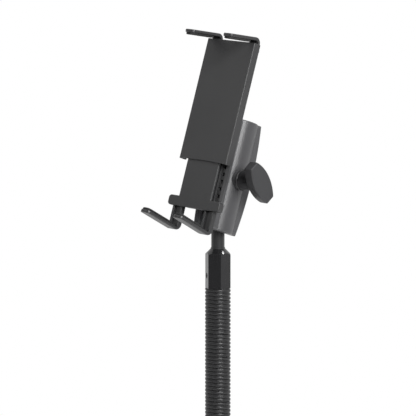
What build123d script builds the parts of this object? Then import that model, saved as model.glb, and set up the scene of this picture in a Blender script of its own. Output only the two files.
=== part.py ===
from build123d import *
import math
import os

# Gooseneck phone mount, in millimetres, +Z up along the straight neck.
# The origin is the centre of the mounting foot's underside.
# The head (arm and holder) is drawn in its own frame, whose origin is the lower ball:
# x to the holder's right, y to its back, z up the arm, and is then leaned into place.

# Foot
FOOT_LENGTH = 64.0
FOOT_WIDTH = 54.0
FOOT_THICKNESS = 5.0
FOOT_CORNER = 9.0
FOOT_BOSS_RADIUS = 14.0
FOOT_BOSS_HEIGHT = 4.0
FOOT_HOLE_SPACING_X = 38.1
FOOT_HOLE_SPACING_Y = 30.2
FOOT_HOLE_RADIUS = 2.65
FOOT_SCREW_RADIUS = 4.9
FOOT_SCREW_HEAD_RADIUS = 9.5
FOOT_SCREW_HEAD_HEIGHT = 4.6
FOOT_SCREW_REACH = 14.0
HEX_KEY_RADIUS = 3.4
HEX_KEY_DEPTH = 3.0

# Hex ferrules at both ends of the neck
HEX_ACROSS_FLATS = 19.05
HEX_LENGTH = 28.5
HEX_CONE_HEIGHT = 5.0
HEX_CONE_TOP_RADIUS = 6.2
HEX_TURN = 24.3
HEX_EDGE_BREAK = 0.5
SPIGOT_RADIUS = 6.0
SPIGOT_LENGTH = 4.5
FERRULE_BORE_RADIUS = 4.95
FERRULE_FLOOR_ABOVE_GRUB = 1.6
GRUB_RADIUS = 2.4
GRUB_LENGTH = 3.6
GRUB_KEY_RADIUS = 1.25
GRUB_KEY_DEPTH = 1.6
GRUB_HEIGHT = 10.9
GRUB_INSET = 0.25
GRUB_CLEARANCE = 0.05

# Flexible neck, split into links that hinge on each other
NECK_RADIUS = 10.7
NECK_ROOT_RADIUS = 9.15
RIDGE_PITCH = 3.175
LINK_RIDGES = 6
NECK_JOINTS = 16
LINK_BEND = 11.25
LINK_BEND_MARGIN = 0.35
LINK_GAP = 0.15
KNUCKLE_RADIUS = 4.0
KNUCKLE_LENGTH = 13.0
KNUCKLE_CLEARANCE = 0.08
SPIGOT_CLEARANCE = 0.05

# Balls and their studs
BALL_RADIUS = 12.7
CORE_RADIUS = 8.0
CORE_CLEARANCE = 0.05
POST_RADIUS = 5.6
POST_LENGTH = 27.2
POST_COLLAR_RADIUS = 6.0
POST_COLLAR_HEIGHT = 1.0
STUD_THREAD_RADIUS = 4.9
STUD_THREAD_LENGTH = 17.0

# Lean of the head as the photograph shows it
HEAD_LEAN_BACK = 16.7
HEAD_ROLL = 3.4

# Clamp arm
BALL_SPACING = 69.0
ARM_END_REACH = 13.0
ARM_GAP = 2.0
ARM_SLAB = 11.5
ARM_END_HALF_WIDTH = 15.4
ARM_WAIST_HALF_WIDTH = 19.8
ARM_BARREL_RADIUS = 15.2
ARM_EDGE_ROUND = 2.2
SOCKET_CLEARANCE = 0.05
SLOT_HALF_WIDTH = 6.9
SLOT_ANGLE = 35.0
BOSS_RADIUS = 8.2
BOSS_FLARE = 0.6
BARREL_END_ROUND = 1.2
BOSS_FACE = 17.0
BOLT_RADIUS = 3.175
BOLT_CLEARANCE = 0.15
BOLT_HEAD_FLATS = 11.1
BOLT_HEAD_HEIGHT = 4.0
BOLT_HEAD_CLEARANCE = 0.1
BOLT_END = 33.0
SPRING_POCKET_RADIUS = 7.2
SPRING_POCKET_DEPTH = 7.0
SPRING_RADIUS = 5.4
SPRING_WIRE = 0.7
SPRING_TURNS = 5
COIL_TIE = 0.8
WASHER_RADIUS = 9.2
WASHER_THICKNESS = 1.4

# Wing knob
KNOB_FACE = 39.4
KNOB_THICKNESS = 8.6
KNOB_HALF_LENGTH = 18.8
KNOB_HALF_WIDTH = 9.6
KNOB_END_HALF_WIDTH = 4.5
KNOB_ROUND = 1.2
KNOB_TURN = 53.6
KNOB_START_GAP = 0.1
HUB_RADIUS = 8.2
HUB_TOP_RADIUS = 7.2
INSERT_RADIUS = 5.5
INSERT_LENGTH = 11.5
INSERT_CLEARANCE = 0.05
THREAD_CLEARANCE = 0.075
KNOB_BORE_SPARE = 4.5

# Holder, seen from the lower ball
FRONT_FACE = -35.3
SHELL_HALF_WIDTH = 25.9
SHELL_DEPTH = 7.5
SHELL_BOTTOM = 39.0
SHELL_TOP = 142.3
SHELL_FRONT_WALL = 1.3
SHELL_WALL = 1.6
SHELL_ROUND = 1.0
SHELL_ARCH = 1.0
SHELL_CAP_HEIGHT = 8.2
TONGUE_THICKNESS = 0.9
RUNNING_GAP = 0.2
STEM_HALF_WIDTH = 17.6
STEM_THICKNESS = 2.1
STEM_ROUND = 0.9
RAIL_SLOT = 1.4
SPINE_HALF_WIDTH = 15.3
BASE_TOP = 103.0
BASE_BOTTOM = 0.6
BASE_BACK = -23.5
FLANGE_HALF_WIDTH = 22.0
FLANGE_DEPTH = 4.8
FLANGE_BOTTOM = 9.4
BAR_HALF_WIDTH = 28.3
BAR_BOTTOM = -0.4
BAR_HEIGHT = 8.5
BAR_DEPTH = 5.6
BAR_ROUND = 2.6
LADDER_START = 13.4
LADDER_PITCH = 6.1
LADDER_COUNT = 13
LADDER_X = 19.8
LADDER_WIDTH = 2.8
LADDER_HEIGHT = 3.0
LADDER_DEPTH = 2.6
SPRING_BAY_HALF_WIDTH = 7.9
SPRING_BAY_FLOOR = 1.5
SPRING_BAY_BOTTOM = 14.0

# Legs
BOTTOM_LEG_INSET = 8.4
TOP_LEG_INSET = 6.0
LEG_WIDTH = 10.2
LEG_STRIP = 2.6
LEG_THICKNESS = 4.3
TOP_LEG_SLOPE = 9.6
BOTTOM_LEG_SLOPE = 9.5
BOTTOM_LEG_TIP = -70.8
TOP_LEG_TIP = -63.8
LEG_BEND_RADIUS = 5.0
LEG_TIP_ROUND = 1.9
PAD_START = 8.0
PAD_PROUD = 0.3
PAD_SIDE_INSET = 0.5
PAD_END_INSET = 1.6
TOP_LEG_RISE = 6.1
TOP_LEG_CLEARANCE = 0.1
TOP_LEG_STRAP = 2.8
BOTTOM_LEG_LEVEL = -21.2
BOTTOM_LEG_WEB = 2.6
BOTTOM_LEG_RIB = 2.0
BOTTOM_LEG_FRONT = -32.4
LEG_UP_TRAVEL = 5.5
BOTTOM_LEG_RIB_TOP = 0.8
SHANK_WIDTH = 7.6
SHANK_TOP = 34.0
SHANK_X = 13.0
CHANNEL_TOP = 46.0
CHANNEL_CLEARANCE = 0.15
BAR_SLOT_CLEARANCE = 0.2

# Springs that pull the shell down
PULL_BAR_HALF_WIDTH = 7.4
PULL_BAR_THICKNESS = 2.0
PULL_BAR_BOTTOM = 107.0
PULL_BAR_JOG = 3.0
PULL_SPRING_X = 4.0
PULL_SPRING_RADIUS = 2.3
PULL_SPRING_WIRE = 0.4
PULL_SPRING_TURNS = 16
PIN_RADIUS = 1.2
PIN_HEIGHT = 18.0
HOOK_DROP = 2.5

# Fasteners and the ball plate
PLATE_HALF_SIZE = 16.5
PLATE_THICKNESS = 3.0
PLATE_CORNER = 4.0
HEAD_SINK = 0.1
PLATE_SCREW_OFFSET = 12.3
STUD_FLANGE_RADIUS = 9.0
STUD_FLANGE_THICKNESS = 1.8
STUD_FLANGE_CLEARANCE = 0.05
SMALL_SCREW_RADIUS = 1.5
SMALL_SCREW_CLEARANCE = 0.1
SMALL_HEAD_RADIUS = 2.8
SMALL_HEAD_HEIGHT = 1.6
HEAD_POCKET_CLEARANCE = 0.2
CROSS_SLOT_WIDTH = 0.7
CROSS_SLOT_DEPTH = 0.8
PLATE_SCREW_REACH = 7.0
COVER_SCREW_BITE = 1.3
COVER_SCREW_X = 12.4
COVER_SCREW_HEIGHTS = (49.5, 97.0)
LEG_SCREW_DROP = 11.5
LEG_SCREW_EDGE = 2.6
LEG_SCREW_BITE = 2.4
LEG_SCREW_SPREAD = 2.5
LEAF_THICKNESS = 0.4
LEAF_WIDTH = 5.0
LEAF_HEIGHT = 14.0
LEAF_BOTTOM = 6.0

# Heights that follow from the sizes above
HEX_CORNER_RADIUS = HEX_ACROSS_FLATS / 2 / math.cos(math.radians(30))
FERRULE_LENGTH = HEX_LENGTH + HEX_CONE_HEIGHT
FERRULE_BORE_FLOOR = GRUB_HEIGHT + FERRULE_FLOOR_ABOVE_GRUB
FOOT_HEIGHT = FOOT_THICKNESS + FOOT_BOSS_HEIGHT
NECK_BOTTOM = FOOT_HEIGHT + FERRULE_LENGTH
LINK_LENGTH = RIDGE_PITCH * LINK_RIDGES
NECK_TOP = NECK_BOTTOM + LINK_LENGTH * NECK_JOINTS
POST_FOOT = NECK_TOP + FERRULE_LENGTH
BALL_HEIGHT = POST_FOOT + POST_LENGTH
BOLT_HEIGHT = BALL_SPACING / 2 - 1.5
WASHER_FACE = BOSS_FACE + WASHER_THICKNESS
SHELL_BACK = FRONT_FACE + SHELL_DEPTH
STEM_FRONT = FRONT_FACE + SHELL_FRONT_WALL + RUNNING_GAP
BOTTOM_LEG_X = SHELL_HALF_WIDTH - BOTTOM_LEG_INSET
TOP_LEG_X = SHELL_HALF_WIDTH - TOP_LEG_INSET
TOP_LEG_LEVEL = SHELL_TOP + TOP_LEG_RISE
LEG_SCREW_HEIGHT = TOP_LEG_LEVEL - LEG_SCREW_DROP
TOP_LEG_HANG = LEG_SCREW_DROP + LEG_SCREW_EDGE
STEM_BACK = STEM_FRONT + STEM_THICKNESS
DECK_FRONT = STEM_BACK + RAIL_SLOT
FLANGE_FRONT = BASE_BACK - FLANGE_DEPTH
BAR_BACK = STEM_FRONT + BAR_DEPTH
BAY_FLOOR = BASE_BACK - SPRING_BAY_FLOOR
LEG_WEB_FRONT = DECK_FRONT + CHANNEL_CLEARANCE
LEG_WEB_BACK = LEG_WEB_FRONT + BOTTOM_LEG_WEB
PLATE_SCREW_SEAT = PLATE_THICKNESS - SMALL_HEAD_HEIGHT - HEAD_SINK

HEAD = Location((0, 0, BALL_HEIGHT), (-HEAD_LEAN_BACK, HEAD_ROLL, 0))
UPPER_BALL = Vector(0, 0, BALL_SPACING)


def block(x_range, y_range, z_range):
    """A box between two values on each axis."""
    lengths = [high - low for low, high in (x_range, y_range, z_range)]
    middles = [(low + high) / 2 for low, high in (x_range, y_range, z_range)]
    return Pos(*middles) * Box(*lengths)


def rod_x(radius, x_range, y=0.0, z=0.0):
    """A round rod along x."""
    low, high = x_range
    return Pos((low + high) / 2, y, z) * Rot(0, 90, 0) * Cylinder(radius, high - low)


def rod_y(radius, y_range, x=0.0, z=0.0):
    """A round rod along y."""
    low, high = y_range
    return Pos(x, (low + high) / 2, z) * Rot(90, 0, 0) * Cylinder(radius, high - low)


def rod_z(radius, z_range, x=0.0, y=0.0):
    """A round rod along z."""
    low, high = z_range
    return Pos(x, y, (low + high) / 2) * Cylinder(radius, high - low)


def side_prism(outline, x_range):
    """A closed outline drawn in y and z, as a list of edges, carried along x."""
    low, high = x_range
    face = make_face([Plane.YZ.offset((low + high) / 2) * edge for edge in outline])
    return extrude(face, amount=(high - low) / 2, both=True)


def round_edges(solid, axis, radius, pick=None):
    """Round the edges that run along an axis, or those of them that pick accepts."""
    edges = solid.edges().filter_by(axis)
    if pick:
        edges = edges.filter_by(pick)
    return fillet(edges, radius)


def hex_prism(across_flats, height, turn=0.0):
    """A six-sided prism that stands on z = 0."""
    face = RegularPolygon(radius=across_flats / 2, side_count=6, major_radius=False)
    return Rot(0, 0, turn) * extrude(face, amount=height)


def small_screw(reach):
    """A pan-head screw along -z: its head stands on z = 0 and its shank hangs below."""
    head = rod_z(SMALL_HEAD_RADIUS, (0, SMALL_HEAD_HEIGHT))
    head = fillet(head.edges().group_by(Axis.Z)[-1], SMALL_HEAD_HEIGHT * 0.4)
    shank = rod_z(SMALL_SCREW_RADIUS, (-reach, 0))
    arm = 2 * SMALL_HEAD_RADIUS * 0.6
    depth = (SMALL_HEAD_HEIGHT - CROSS_SLOT_DEPTH, SMALL_HEAD_HEIGHT)
    half = CROSS_SLOT_WIDTH / 2
    cross = block((-arm / 2, arm / 2), (-half, half), depth) + block((-half, half), (-arm / 2, arm / 2), depth)
    return head + shank - cross


def group(solids):
    """Separate solids kept together as one node."""
    return Compound(children=list(solids))


# Foot and ferrules

def mounting_foot():
    plate = extrude(RectangleRounded(FOOT_LENGTH, FOOT_WIDTH, FOOT_CORNER), amount=FOOT_THICKNESS)
    plate = chamfer(plate.edges().group_by(Axis.Z)[-1], 0.8)
    foot = plate + rod_z(FOOT_BOSS_RADIUS, (0, FOOT_HEIGHT))
    foot = chamfer(foot.edges().group_by(Axis.Z)[-1], 1.0)
    hole = Cylinder(FOOT_HOLE_RADIUS, 4 * FOOT_THICKNESS)
    for place in GridLocations(FOOT_HOLE_SPACING_X, FOOT_HOLE_SPACING_Y, 2, 2):
        foot -= place * hole
    foot -= rod_z(FOOT_SCREW_RADIUS + 0.2, (-1, FOOT_HEIGHT + 1))
    sink = Cone(FOOT_SCREW_HEAD_RADIUS + 0.3, FOOT_SCREW_RADIUS + 0.2, FOOT_SCREW_HEAD_HEIGHT + 0.3)
    return foot - Pos(0, 0, (FOOT_SCREW_HEAD_HEIGHT + 0.3) / 2) * sink


def foot_screw():
    sink = 0.2
    head = Cone(FOOT_SCREW_HEAD_RADIUS, FOOT_SCREW_RADIUS, FOOT_SCREW_HEAD_HEIGHT)
    head = Pos(0, 0, sink + FOOT_SCREW_HEAD_HEIGHT / 2) * head
    shank = rod_z(FOOT_SCREW_RADIUS, (sink + FOOT_SCREW_HEAD_HEIGHT, FOOT_HEIGHT + FOOT_SCREW_REACH))
    key = Pos(0, 0, sink) * hex_prism(2 * HEX_KEY_RADIUS, HEX_KEY_DEPTH)
    return head + shank - key


def grub_place():
    """Where the grub screw stands: on the facet that lies opposite the ferrule's first corner."""
    facet_angle = HEX_TURN + 30 - 180
    return Rot(0, 0, facet_angle) * Pos(0, 0, GRUB_HEIGHT)


def ferrule():
    """A hex ferrule with its neck end on z = 0 and its cone at the top."""
    prism = hex_prism(HEX_ACROSS_FLATS, FERRULE_LENGTH, HEX_TURN)
    wide = HEX_CONE_TOP_RADIUS + HEX_CONE_HEIGHT
    low = HEX_CORNER_RADIUS - HEX_EDGE_BREAK
    outline = Polyline(
        (0, 0), (low, 0), (wide + 1, wide + 1 - low), (wide + 1, HEX_LENGTH - 1),
        (wide, HEX_LENGTH), (HEX_CONE_TOP_RADIUS, FERRULE_LENGTH), (0, FERRULE_LENGTH), close=True)
    envelope = revolve(make_face(Plane.XZ * outline), axis=Axis.Z)
    body = (prism & envelope) + rod_z(SPIGOT_RADIUS, (-SPIGOT_LENGTH, 0))
    body -= rod_z(FERRULE_BORE_RADIUS, (FERRULE_BORE_FLOOR, FERRULE_LENGTH + 1))
    hole = grub_place() * rod_x(GRUB_RADIUS + GRUB_CLEARANCE, (0, HEX_CORNER_RADIUS + 1))
    return body - (hole - Cylinder(FERRULE_BORE_RADIUS - 0.5, 0.1))


def grub_screw():
    """The set screw, seated just under its facet."""
    face = HEX_ACROSS_FLATS / 2 - GRUB_INSET
    screw = rod_x(GRUB_RADIUS, (face - GRUB_LENGTH, face))
    key = Pos(face - GRUB_KEY_DEPTH, 0, 0) * Rot(0, 90, 0) * hex_prism(2 * GRUB_KEY_RADIUS, GRUB_KEY_DEPTH + 1)
    return grub_place() * (screw - key)


# Neck

def knuckle(joint, grow):
    """The round knuckle on a joint's hinge axis: x for even joints, y for odd ones."""
    length = KNUCKLE_LENGTH + 2 * grow
    radius = KNUCKLE_RADIUS + grow
    rod = rod_x(radius, (-length / 2, length / 2)) if joint % 2 == 0 else rod_y(radius, (-length / 2, length / 2))
    return Pos(0, 0, joint_height(joint)) * rod


def joint_height(joint):
    """Height of a neck joint: the end links are half as long as the rest."""
    return NECK_BOTTOM + LINK_LENGTH * (joint + 0.5)


def relief(joint, side):
    """The cone cut from a link's end, so that it can bend: side is 1 above the joint, -1 below."""
    rise = math.tan(math.radians(LINK_BEND / 2 + LINK_BEND_MARGIN))
    far = NECK_RADIUS + 1
    outline = Polyline((0, side * LINK_GAP), (far, side * (LINK_GAP + far * rise)), (far, -side * 2), (0, -side * 2), close=True)
    return Pos(0, 0, joint_height(joint)) * revolve(make_face(Plane.XZ * outline), axis=Axis.Z)


def neck_link(number):
    """Link number 0 to NECK_JOINTS: a stretch of ridges between joints number - 1 and number."""
    low = NECK_BOTTOM if number == 0 else joint_height(number - 1)
    high = NECK_TOP if number == NECK_JOINTS else joint_height(number)
    ridges = round((high - low) / RIDGE_PITCH)
    edges = [Line((0, low), (NECK_ROOT_RADIUS, low))]
    for ridge in range(ridges):
        start = low + ridge * RIDGE_PITCH
        edges.append(ThreePointArc(
            (NECK_ROOT_RADIUS, start),
            (NECK_RADIUS, start + RIDGE_PITCH / 2),
            (NECK_ROOT_RADIUS, start + RIDGE_PITCH)))
    edges.append(Line((NECK_ROOT_RADIUS, high), (0, high)))
    edges.append(Line((0, high), (0, low)))
    link = revolve(make_face([Plane.XZ * edge for edge in edges]), axis=Axis.Z)
    if number > 0:
        link -= relief(number - 1, 1)
        link -= knuckle(number - 1, KNUCKLE_CLEARANCE)
    else:
        link -= rod_z(SPIGOT_RADIUS + SPIGOT_CLEARANCE, (low - 1, low + SPIGOT_LENGTH + 0.2))
    if number < NECK_JOINTS:
        link -= relief(number, -1)
        link += knuckle(number, 0)
    else:
        link -= rod_z(SPIGOT_RADIUS + SPIGOT_CLEARANCE, (high - SPIGOT_LENGTH - 0.2, high + 1))
    return link


# Balls and studs

def ball_stud(length):
    """A post that ends in the round core of a ball: the core is at the origin and the post hangs below."""
    return Sphere(CORE_RADIUS) + rod_z(POST_RADIUS, (-length, 0))


def rubber_ball():
    """The rubber ball round a stud's core, open below for the post."""
    hollow = Sphere(CORE_RADIUS + CORE_CLEARANCE) + rod_z(POST_RADIUS + CORE_CLEARANCE, (-2 * BALL_RADIUS, 0))
    return Sphere(BALL_RADIUS) - hollow


def lower_ball_stud():
    stud = ball_stud(POST_LENGTH)
    stud += rod_z(POST_COLLAR_RADIUS, (-POST_LENGTH, -POST_LENGTH + POST_COLLAR_HEIGHT))
    return stud + rod_z(STUD_THREAD_RADIUS, (-POST_LENGTH - STUD_THREAD_LENGTH, -POST_LENGTH))


def holder_stud():
    """The upper ball's stud, with the flange that the ball plate traps."""
    length = -BASE_BACK
    stud = ball_stud(length)
    stud += rod_z(STUD_FLANGE_RADIUS, (-length, -length + STUD_FLANGE_THICKNESS))
    return Pos(UPPER_BALL) * Rot(-90, 0, 0) * stud


# Clamp arm

def slot_cutter(centre, outward):
    """The wedge-shaped slot in which a stud swings about its ball, open towards the arm's end."""
    far = 60.0
    rise = far * math.tan(math.radians(SLOT_ANGLE))
    outline = Polyline(
        (0, centre), (far, centre - outward * rise), (far, centre + outward * far),
        (-far, centre + outward * far), (-far, centre - outward * rise), close=True)
    return side_prism([outline], (-SLOT_HALF_WIDTH, SLOT_HALF_WIDTH))


def arm_half(bolt_head_side):
    """One half of the arm, drawn on the +x side, and turned over for the bolt head's side."""
    low = -ARM_END_REACH
    high = BALL_SPACING + ARM_END_REACH
    middle = BALL_SPACING / 2
    outline = [
        Line((-ARM_END_HALF_WIDTH, low), (ARM_END_HALF_WIDTH, low)),
        ThreePointArc((ARM_END_HALF_WIDTH, low), (ARM_WAIST_HALF_WIDTH, middle), (ARM_END_HALF_WIDTH, high)),
        Line((ARM_END_HALF_WIDTH, high), (-ARM_END_HALF_WIDTH, high)),
        ThreePointArc((-ARM_END_HALF_WIDTH, high), (-ARM_WAIST_HALF_WIDTH, middle), (-ARM_END_HALF_WIDTH, low)),
    ]
    slab = side_prism(outline, (-ARM_SLAB, ARM_SLAB))
    slab = fillet(slab.edges().group_by(Axis.X)[-1], ARM_EDGE_ROUND)
    barrel = rod_z(ARM_BARREL_RADIUS, (low, high))
    barrel = fillet(barrel.edges().filter_by(GeomType.CIRCLE), BARREL_END_ROUND)
    boss = Pos((ARM_SLAB + BOSS_FACE) / 2, 0, BOLT_HEIGHT) * Rot(0, 90, 0) * Cone(
        BOSS_RADIUS + BOSS_FLARE, BOSS_RADIUS, BOSS_FACE - ARM_SLAB)
    half = slab + barrel + boss
    socket = Rot(0, 0, 180) * Sphere(BALL_RADIUS + SOCKET_CLEARANCE)
    half -= socket
    half -= Pos(UPPER_BALL) * socket
    reach = BALL_SPACING
    half -= block((-reach, ARM_GAP / 2), (-reach, reach), (low - reach, high + reach))
    half -= slot_cutter(0, -1)
    half -= slot_cutter(BALL_SPACING, 1)
    half -= rod_x(BOLT_RADIUS + BOLT_CLEARANCE, (-5, BOSS_FACE + 5), z=BOLT_HEIGHT)
    half -= rod_x(SPRING_POCKET_RADIUS, (-5, ARM_GAP / 2 + SPRING_POCKET_DEPTH), z=BOLT_HEIGHT)
    if not bolt_head_side:
        return half
    recess = hex_prism(BOLT_HEAD_FLATS + 2 * BOLT_HEAD_CLEARANCE, 2 * BOLT_HEAD_HEIGHT)
    half -= Pos(BOSS_FACE - BOLT_HEAD_HEIGHT, 0, BOLT_HEIGHT) * Rot(0, 90, 0) * recess
    return mirror(half, about=Plane.YZ)


def clamp_bolt():
    head = hex_prism(BOLT_HEAD_FLATS, BOLT_HEAD_HEIGHT - 0.3)
    head = chamfer(head.edges().group_by(Axis.Z)[-1], 0.5)
    seat = -(BOSS_FACE - BOLT_HEAD_HEIGHT)
    head = Pos(seat, 0, BOLT_HEIGHT) * Rot(0, -90, 0) * head
    return head + rod_x(BOLT_RADIUS, (seat, BOLT_END), z=BOLT_HEIGHT)


def coil(radius, wire, length, turns):
    """A close stand-in for a coil spring: a stack of rings joined by a straight wire, along z from 0."""
    step = (length - 2 * wire) / turns
    spring = rod_z(wire * COIL_TIE, (wire, length - wire), x=radius)
    for turn in range(turns + 1):
        spring += Pos(0, 0, wire + turn * step) * Torus(radius, wire)
    return spring


def clamp_spring():
    depth = ARM_GAP / 2 + SPRING_POCKET_DEPTH
    spring = coil(SPRING_RADIUS, SPRING_WIRE, 2 * depth, SPRING_TURNS)
    return Pos(-depth, 0, BOLT_HEIGHT) * Rot(0, 90, 0) * spring


def clamp_washer():
    ring = rod_x(WASHER_RADIUS, (BOSS_FACE, WASHER_FACE), z=BOLT_HEIGHT)
    ring = chamfer(ring.edges().group_by(Axis.X)[-1], 0.4)
    return ring - rod_x(BOLT_RADIUS + BOLT_CLEARANCE, (0, BOLT_END), z=BOLT_HEIGHT)


# Knob

def clamp_knob():
    """A two-winged knob: straight-ended lens with a round hub, drawn along the arm and turned on the bolt."""
    ends = KNOB_HALF_LENGTH
    outline = [
        ThreePointArc((-KNOB_END_HALF_WIDTH, ends), (-KNOB_HALF_WIDTH, 0), (-KNOB_END_HALF_WIDTH, -ends)),
        Line((-KNOB_END_HALF_WIDTH, -ends), (KNOB_END_HALF_WIDTH, -ends)),
        ThreePointArc((KNOB_END_HALF_WIDTH, -ends), (KNOB_HALF_WIDTH, 0), (KNOB_END_HALF_WIDTH, ends)),
        Line((KNOB_END_HALF_WIDTH, ends), (-KNOB_END_HALF_WIDTH, ends)),
    ]
    back = KNOB_FACE - KNOB_THICKNESS
    wing = side_prism(outline, (back, KNOB_FACE))
    wing = fillet(wing.edges(), KNOB_ROUND)
    start = WASHER_FACE + KNOB_START_GAP
    hub = Pos((start + back) / 2, 0, 0) * Rot(0, 90, 0) * Cone(HUB_RADIUS, HUB_TOP_RADIUS, back - start)
    knob = wing + hub + rod_x(HUB_TOP_RADIUS, (back - 0.01, back + 1))
    knob -= rod_x(INSERT_RADIUS + INSERT_CLEARANCE, (start - 1, start + INSERT_LENGTH))
    knob -= rod_x(BOLT_RADIUS + BOLT_CLEARANCE, (start, BOLT_END + KNOB_BORE_SPARE))
    return Pos(0, 0, BOLT_HEIGHT) * Rot(KNOB_TURN, 0, 0) * knob


def knob_insert():
    start = WASHER_FACE + KNOB_START_GAP
    insert = rod_x(INSERT_RADIUS, (start, start + INSERT_LENGTH), z=BOLT_HEIGHT)
    return insert - rod_x(BOLT_RADIUS + THREAD_CLEARANCE, (0, BOLT_END + 5), z=BOLT_HEIGHT)


# Holder: fixed pieces

def ball_plate():
    plate = extrude(RectangleRounded(2 * PLATE_HALF_SIZE, 2 * PLATE_HALF_SIZE, PLATE_CORNER), amount=PLATE_THICKNESS)
    plate = chamfer(plate.edges().group_by(Axis.Z)[-1], 0.6)
    plate -= rod_z(STUD_FLANGE_RADIUS + STUD_FLANGE_CLEARANCE, (-1, STUD_FLANGE_THICKNESS + STUD_FLANGE_CLEARANCE))
    plate -= rod_z(POST_RADIUS + 0.1, (-1, PLATE_THICKNESS + 1))
    hole = Cylinder(SMALL_SCREW_RADIUS + SMALL_SCREW_CLEARANCE, 4 * PLATE_THICKNESS)
    pocket = rod_z(SMALL_HEAD_RADIUS + HEAD_POCKET_CLEARANCE, (PLATE_SCREW_SEAT, PLATE_THICKNESS + 1))
    for place in GridLocations(2 * PLATE_SCREW_OFFSET, 2 * PLATE_SCREW_OFFSET, 2, 2):
        plate -= place * hole
        plate -= place * pocket
    return Pos(0, BASE_BACK, BALL_SPACING) * Rot(-90, 0, 0) * plate


def ball_plate_screws():
    screw = small_screw(PLATE_SCREW_REACH)
    places = GridLocations(2 * PLATE_SCREW_OFFSET, 2 * PLATE_SCREW_OFFSET, 2, 2)
    seat = Pos(0, BASE_BACK + PLATE_SCREW_SEAT, BALL_SPACING) * Rot(-90, 0, 0)
    return group(seat * place * screw for place in places)


def cover_screw_places():
    """Screws that hold the front plate, put in from behind."""
    places = [(side * COVER_SCREW_X, height) for side in (-1, 1) for height in COVER_SCREW_HEIGHTS]
    return places + [(0, (BAR_BOTTOM + SPRING_BAY_BOTTOM) / 2)]


def rear_base():
    base = block((-STEM_HALF_WIDTH, STEM_HALF_WIDTH), (DECK_FRONT, BASE_BACK), (BASE_BOTTOM, BASE_TOP))
    flange = block((-FLANGE_HALF_WIDTH, FLANGE_HALF_WIDTH), (FLANGE_FRONT, BASE_BACK), (FLANGE_BOTTOM, BASE_TOP))
    flange = fillet(flange.edges().filter_by(Axis.Z).group_by(Axis.Y)[-1], 1.5)
    spine = block((-SPINE_HALF_WIDTH, SPINE_HALF_WIDTH), (STEM_BACK, DECK_FRONT), (BAR_BOTTOM + BAR_HEIGHT, BASE_TOP))
    base = base + flange + spine
    bay = SPRING_BAY_HALF_WIDTH
    base -= block((-bay, bay), (STEM_BACK - 1, BAY_FLOOR), (SPRING_BAY_BOTTOM, BASE_TOP + 1))
    half = SHANK_WIDTH / 2 + CHANNEL_CLEARANCE
    for side in (-1, 1):
        centre = side * SHANK_X
        depth = (DECK_FRONT, LEG_WEB_BACK + CHANNEL_CLEARANCE)
        base -= block((centre - half, centre + half), depth, (BASE_BOTTOM - 1, CHANNEL_TOP))
        outer = LEG_WIDTH / 2 + BAR_SLOT_CLEARANCE
        across = (side * BOTTOM_LEG_X - outer, side * BOTTOM_LEG_X + outer)
        depth = (DECK_FRONT - 1, LEG_WEB_BACK + CHANNEL_CLEARANCE)
        base -= block(across, depth, (BASE_BOTTOM - 1, BOTTOM_LEG_RIB_TOP + LEG_UP_TRAVEL + BAR_SLOT_CLEARANCE))
        leaf = LEAF_WIDTH / 2 + 0.2
        depth = (DECK_FRONT, LEG_WEB_BACK + CHANNEL_CLEARANCE + LEAF_THICKNESS)
        base -= block((centre - leaf, centre + leaf), depth, (LEAF_BOTTOM - 0.2, LEAF_BOTTOM + LEAF_HEIGHT + 0.2))
        for step in range(LADDER_COUNT):
            low = LADDER_START + step * LADDER_PITCH - LADDER_HEIGHT / 2
            x = side * LADDER_X
            window = (x - LADDER_WIDTH / 2, x + LADDER_WIDTH / 2)
            base -= block(window, (FLANGE_FRONT - 1, FLANGE_FRONT + LADDER_DEPTH), (low, low + LADDER_HEIGHT))
    for x, z in cover_screw_places():
        base -= rod_y(SMALL_SCREW_RADIUS + SMALL_SCREW_CLEARANCE, (STEM_BACK - 1, BASE_BACK + 1), x, z)
        pocket = (BASE_BACK - SMALL_HEAD_HEIGHT - 0.2, BASE_BACK + 1)
        base -= rod_y(SMALL_HEAD_RADIUS + HEAD_POCKET_CLEARANCE, pocket, x, z)
    for place in GridLocations(2 * PLATE_SCREW_OFFSET, 2 * PLATE_SCREW_OFFSET, 2, 2):
        x, z = place.position.X, BALL_SPACING + place.position.Y
        reach = PLATE_SCREW_REACH - PLATE_SCREW_SEAT + 0.5
        base -= rod_y(SMALL_SCREW_RADIUS + 0.02, (BASE_BACK - reach, BASE_BACK + 1), x, z)
    return base


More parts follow.
